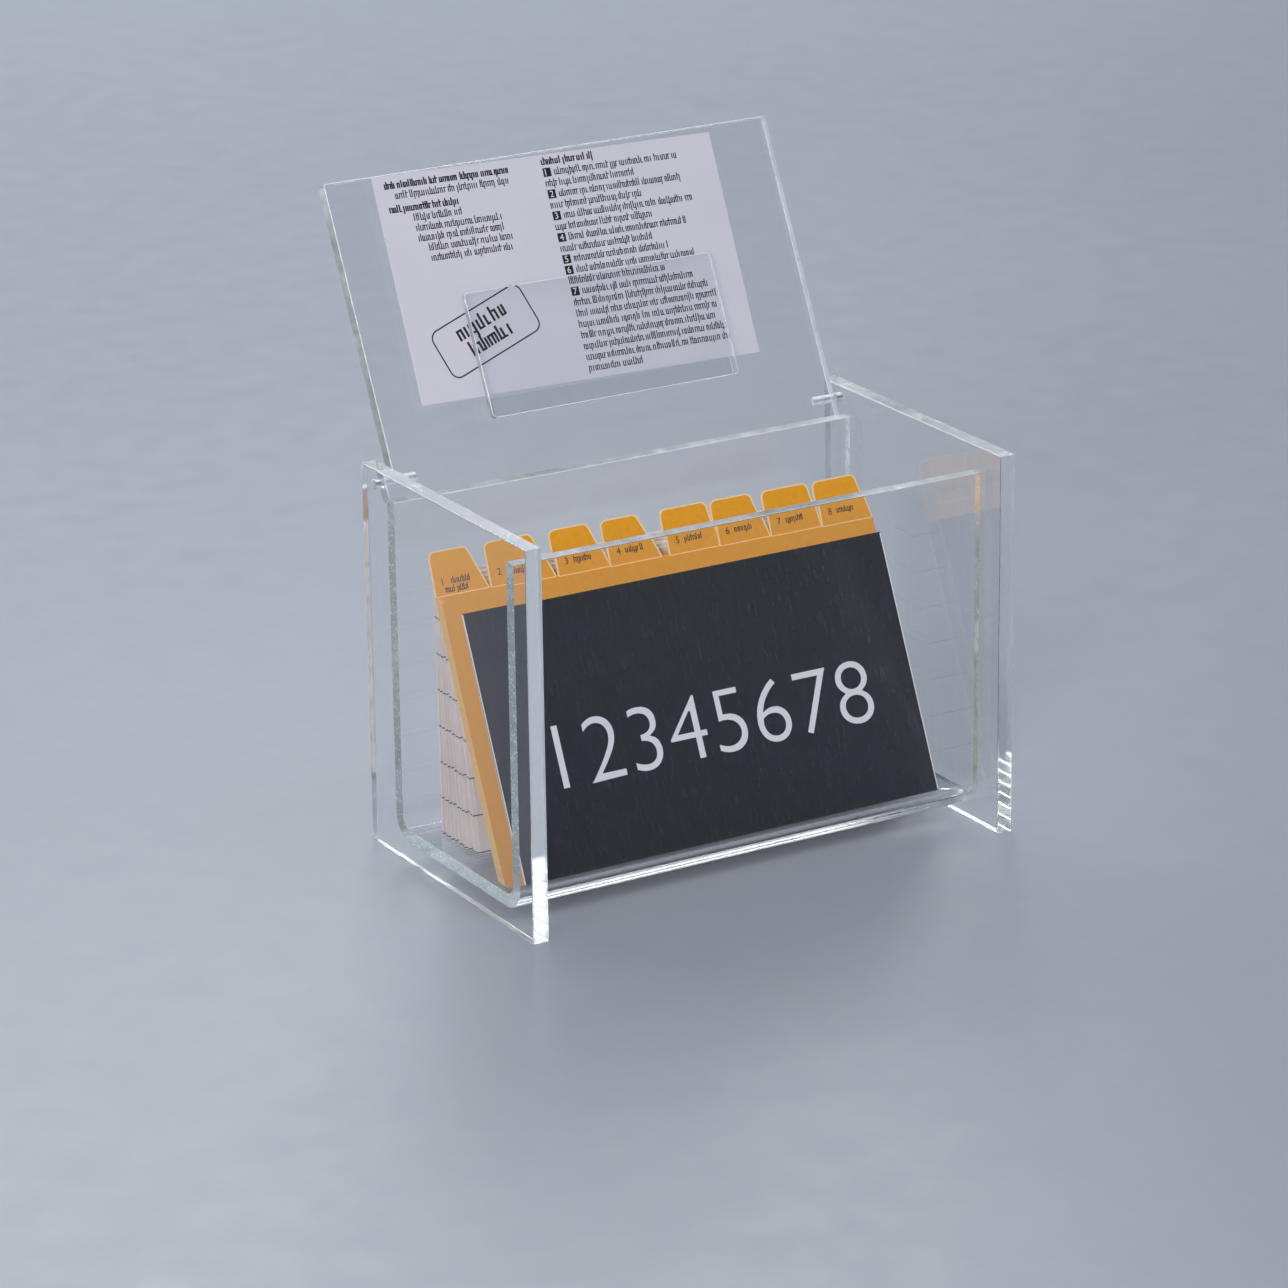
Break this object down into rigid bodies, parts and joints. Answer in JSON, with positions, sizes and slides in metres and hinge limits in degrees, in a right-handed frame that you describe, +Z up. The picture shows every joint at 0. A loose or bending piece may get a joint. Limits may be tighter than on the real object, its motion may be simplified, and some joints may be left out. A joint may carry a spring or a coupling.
{
  "type": "card file box",
  "caption": "Clear acrylic card file box with thick side panels, a pin-hinged lid with a card holder, a title card, tabbed guides and filed cards.",
  "frame": {"origin": "on the table, at the centre of the footprint of the box with its lid open", "axes": "+Z up, +X to the user's right along the hinge, +Y away from the user, towards the side that the open lid leans to"},
  "size_m": [0.1778, 0.1415, 0.2098],
  "materials": {
    "clear_acrylic": "polished",
    "orange_card": "satin",
    "black_card": "gloss",
    "white_card": "matte"
  },
  "bodies": {
    "box": {"left_side_panel": "clear_acrylic", "right_side_panel": "clear_acrylic", "tray": "clear_acrylic"},
    "lid": {"lid": "clear_acrylic", "left_hinge_pin": "clear_acrylic", "right_hinge_pin": "clear_acrylic", "card_holder_pane": "clear_acrylic", "card_holder_spacer": "clear_acrylic"},
    "lid_recipe_card": {"lid_recipe_card": "white_card"},
    "title_card": {"title_card": "black_card"},
    "divider_8": {"divider_8": "orange_card"},
    "divider_7": {"divider_7": "orange_card"},
    "divider_6": {"divider_6": "orange_card"},
    "divider_5": {"divider_5": "orange_card"},
    "divider_4": {"divider_4": "orange_card"},
    "divider_3": {"divider_3": "orange_card"},
    "divider_2": {"divider_2": "orange_card"},
    "divider_1": {"divider_1": "orange_card"},
    "recipe_card_01": {"recipe_card_01": "white_card"},
    "recipe_card_02": {"recipe_card_02": "white_card"},
    "recipe_card_03": {"recipe_card_03": "white_card"},
    "recipe_card_04": {"recipe_card_04": "white_card"},
    "recipe_card_05": {"recipe_card_05": "white_card"},
    "recipe_card_06": {"recipe_card_06": "white_card"},
    "recipe_card_07": {"recipe_card_07": "white_card"},
    "recipe_card_08": {"recipe_card_08": "white_card"},
    "recipe_card_09": {"recipe_card_09": "white_card"},
    "recipe_card_10": {"recipe_card_10": "white_card"},
    "recipe_card_11": {"recipe_card_11": "white_card"},
    "recipe_card_12": {"recipe_card_12": "white_card"},
    "recipe_card_13": {"recipe_card_13": "white_card"},
    "recipe_card_14": {"recipe_card_14": "white_card"},
    "recipe_card_15": {"recipe_card_15": "white_card"},
    "recipe_card_16": {"recipe_card_16": "white_card"},
    "recipe_card_17": {"recipe_card_17": "white_card"},
    "recipe_card_18": {"recipe_card_18": "white_card"},
    "recipe_card_19": {"recipe_card_19": "white_card"},
    "recipe_card_20": {"recipe_card_20": "white_card"}
  },
  "joints": [
    {"name": "lid_hinge", "type": "hinge", "parent": "box", "child": "lid", "pos_m": [0, 0.02621, 0.1224], "axis": [1, 0, 0], "range_deg": [0, 116.2]},
    {"name": "lid_recipe_card_slide", "type": "slide", "parent": "lid", "child": "lid_recipe_card", "axis": [0, 0.4415, 0.8973], "range_m": [0, 0.045]},
    {"name": "title_card_tilt", "type": "hinge", "parent": "box", "child": "title_card", "pos_m": [0, -0.04859, 0.01005], "axis": [1, 0, 0], "range_deg": [0, 26.5]},
    {"name": "divider_8_tilt", "type": "hinge", "parent": "box", "child": "divider_8", "pos_m": [0, -0.04804, 0.01005], "axis": [1, 0, 0], "range_deg": [0, 26.25]},
    {"name": "divider_7_tilt", "type": "hinge", "parent": "box", "child": "divider_7", "pos_m": [0, -0.0475, 0.01005], "axis": [1, 0, 0], "range_deg": [0, 25.98]},
    {"name": "divider_6_tilt", "type": "hinge", "parent": "box", "child": "divider_6", "pos_m": [0, -0.04695, 0.01005], "axis": [1, 0, 0], "range_deg": [0, 25.71]},
    {"name": "divider_5_tilt", "type": "hinge", "parent": "box", "child": "divider_5", "pos_m": [0, -0.0464, 0.01005], "axis": [1, 0, 0], "range_deg": [0, 25.45]},
    {"name": "divider_4_tilt", "type": "hinge", "parent": "box", "child": "divider_4", "pos_m": [0, -0.04585, 0.01005], "axis": [1, 0, 0], "range_deg": [0, 25.18]},
    {"name": "divider_3_tilt", "type": "hinge", "parent": "box", "child": "divider_3", "pos_m": [0, -0.04531, 0.01005], "axis": [1, 0, 0], "range_deg": [0, 24.92]},
    {"name": "divider_2_tilt", "type": "hinge", "parent": "box", "child": "divider_2", "pos_m": [0, -0.04476, 0.01005], "axis": [1, 0, 0], "range_deg": [0, 24.66]},
    {"name": "divider_1_tilt", "type": "hinge", "parent": "box", "child": "divider_1", "pos_m": [0, -0.04421, 0.01005], "axis": [1, 0, 0], "range_deg": [0, 24.39]},
    {"name": "recipe_card_01_tilt", "type": "hinge", "parent": "box", "child": "recipe_card_01", "pos_m": [0, -0.01939, 0.01005], "axis": [1, 0, 0], "range_deg": [0, 6.63]},
    {"name": "recipe_card_02_tilt", "type": "hinge", "parent": "box", "child": "recipe_card_02", "pos_m": [0, -0.01816, 0.01005], "axis": [1, 0, 0], "range_deg": [0, 6.63]},
    {"name": "recipe_card_03_tilt", "type": "hinge", "parent": "box", "child": "recipe_card_03", "pos_m": [0, -0.01694, 0.01005], "axis": [1, 0, 0], "range_deg": [0, 6.63]},
    {"name": "recipe_card_04_tilt", "type": "hinge", "parent": "box", "child": "recipe_card_04", "pos_m": [0, -0.01571, 0.01005], "axis": [1, 0, 0], "range_deg": [0, 6.63]},
    {"name": "recipe_card_05_tilt", "type": "hinge", "parent": "box", "child": "recipe_card_05", "pos_m": [0, -0.01448, 0.01005], "axis": [1, 0, 0], "range_deg": [0, 6.63]},
    {"name": "recipe_card_06_tilt", "type": "hinge", "parent": "box", "child": "recipe_card_06", "pos_m": [0, -0.01326, 0.01005], "axis": [1, 0, 0], "range_deg": [0, 6.63]},
    {"name": "recipe_card_07_tilt", "type": "hinge", "parent": "box", "child": "recipe_card_07", "pos_m": [0, -0.01203, 0.01005], "axis": [1, 0, 0], "range_deg": [0, 6.63]},
    {"name": "recipe_card_08_tilt", "type": "hinge", "parent": "box", "child": "recipe_card_08", "pos_m": [0, -0.01081, 0.01005], "axis": [1, 0, 0], "range_deg": [0, 6.63]},
    {"name": "recipe_card_09_tilt", "type": "hinge", "parent": "box", "child": "recipe_card_09", "pos_m": [0, -0.00958, 0.01005], "axis": [1, 0, 0], "range_deg": [0, 6.63]},
    {"name": "recipe_card_10_tilt", "type": "hinge", "parent": "box", "child": "recipe_card_10", "pos_m": [0, -0.00835, 0.01005], "axis": [1, 0, 0], "range_deg": [0, 6.63]},
    {"name": "recipe_card_11_tilt", "type": "hinge", "parent": "box", "child": "recipe_card_11", "pos_m": [0, -0.00713, 0.01005], "axis": [1, 0, 0], "range_deg": [0, 6.63]},
    {"name": "recipe_card_12_tilt", "type": "hinge", "parent": "box", "child": "recipe_card_12", "pos_m": [0, -0.0059, 0.01005], "axis": [1, 0, 0], "range_deg": [0, 6.63]},
    {"name": "recipe_card_13_tilt", "type": "hinge", "parent": "box", "child": "recipe_card_13", "pos_m": [0, -0.00467, 0.01005], "axis": [1, 0, 0], "range_deg": [0, 6.63]},
    {"name": "recipe_card_14_tilt", "type": "hinge", "parent": "box", "child": "recipe_card_14", "pos_m": [0, -0.00345, 0.01005], "axis": [1, 0, 0], "range_deg": [0, 6.63]},
    {"name": "recipe_card_15_tilt", "type": "hinge", "parent": "box", "child": "recipe_card_15", "pos_m": [0, -0.00222, 0.01005], "axis": [1, 0, 0], "range_deg": [0, 6.63]},
    {"name": "recipe_card_16_tilt", "type": "hinge", "parent": "box", "child": "recipe_card_16", "pos_m": [0, -0.001, 0.01005], "axis": [1, 0, 0], "range_deg": [0, 6.63]},
    {"name": "recipe_card_17_tilt", "type": "hinge", "parent": "box", "child": "recipe_card_17", "pos_m": [0, 0.00023, 0.01005], "axis": [1, 0, 0], "range_deg": [0, 6.63]},
    {"name": "recipe_card_18_tilt", "type": "hinge", "parent": "box", "child": "recipe_card_18", "pos_m": [0, 0.00146, 0.01005], "axis": [1, 0, 0], "range_deg": [0, 6.63]},
    {"name": "recipe_card_19_tilt", "type": "hinge", "parent": "box", "child": "recipe_card_19", "pos_m": [0, 0.00268, 0.01005], "axis": [1, 0, 0], "range_deg": [0, 6.63]},
    {"name": "recipe_card_20_tilt", "type": "hinge", "parent": "box", "child": "recipe_card_20", "pos_m": [0, 0.00391, 0.01005], "axis": [1, 0, 0], "range_deg": [0, 6.63]}
  ],
  "couplings": [
    {"joint": "divider_8_tilt", "follows": "title_card_tilt", "ratio": 0.99},
    {"joint": "divider_7_tilt", "follows": "title_card_tilt", "ratio": 0.98},
    {"joint": "divider_6_tilt", "follows": "title_card_tilt", "ratio": 0.97},
    {"joint": "divider_5_tilt", "follows": "title_card_tilt", "ratio": 0.96},
    {"joint": "divider_4_tilt", "follows": "title_card_tilt", "ratio": 0.95},
    {"joint": "divider_3_tilt", "follows": "title_card_tilt", "ratio": 0.94},
    {"joint": "divider_2_tilt", "follows": "title_card_tilt", "ratio": 0.93},
    {"joint": "divider_1_tilt", "follows": "title_card_tilt", "ratio": 0.92},
    {"joint": "recipe_card_01_tilt", "follows": "title_card_tilt", "ratio": 0.25},
    {"joint": "recipe_card_02_tilt", "follows": "title_card_tilt", "ratio": 0.25},
    {"joint": "recipe_card_03_tilt", "follows": "title_card_tilt", "ratio": 0.25},
    {"joint": "recipe_card_04_tilt", "follows": "title_card_tilt", "ratio": 0.25},
    {"joint": "recipe_card_05_tilt", "follows": "title_card_tilt", "ratio": 0.25},
    {"joint": "recipe_card_06_tilt", "follows": "title_card_tilt", "ratio": 0.25},
    {"joint": "recipe_card_07_tilt", "follows": "title_card_tilt", "ratio": 0.25},
    {"joint": "recipe_card_08_tilt", "follows": "title_card_tilt", "ratio": 0.25},
    {"joint": "recipe_card_09_tilt", "follows": "title_card_tilt", "ratio": 0.25},
    {"joint": "recipe_card_10_tilt", "follows": "title_card_tilt", "ratio": 0.25},
    {"joint": "recipe_card_11_tilt", "follows": "title_card_tilt", "ratio": 0.25},
    {"joint": "recipe_card_12_tilt", "follows": "title_card_tilt", "ratio": 0.25},
    {"joint": "recipe_card_13_tilt", "follows": "title_card_tilt", "ratio": 0.25},
    {"joint": "recipe_card_14_tilt", "follows": "title_card_tilt", "ratio": 0.25},
    {"joint": "recipe_card_15_tilt", "follows": "title_card_tilt", "ratio": 0.25},
    {"joint": "recipe_card_16_tilt", "follows": "title_card_tilt", "ratio": 0.25},
    {"joint": "recipe_card_17_tilt", "follows": "title_card_tilt", "ratio": 0.25},
    {"joint": "recipe_card_18_tilt", "follows": "title_card_tilt", "ratio": 0.25},
    {"joint": "recipe_card_19_tilt", "follows": "title_card_tilt", "ratio": 0.25},
    {"joint": "recipe_card_20_tilt", "follows": "title_card_tilt", "ratio": 0.25}
  ]
}
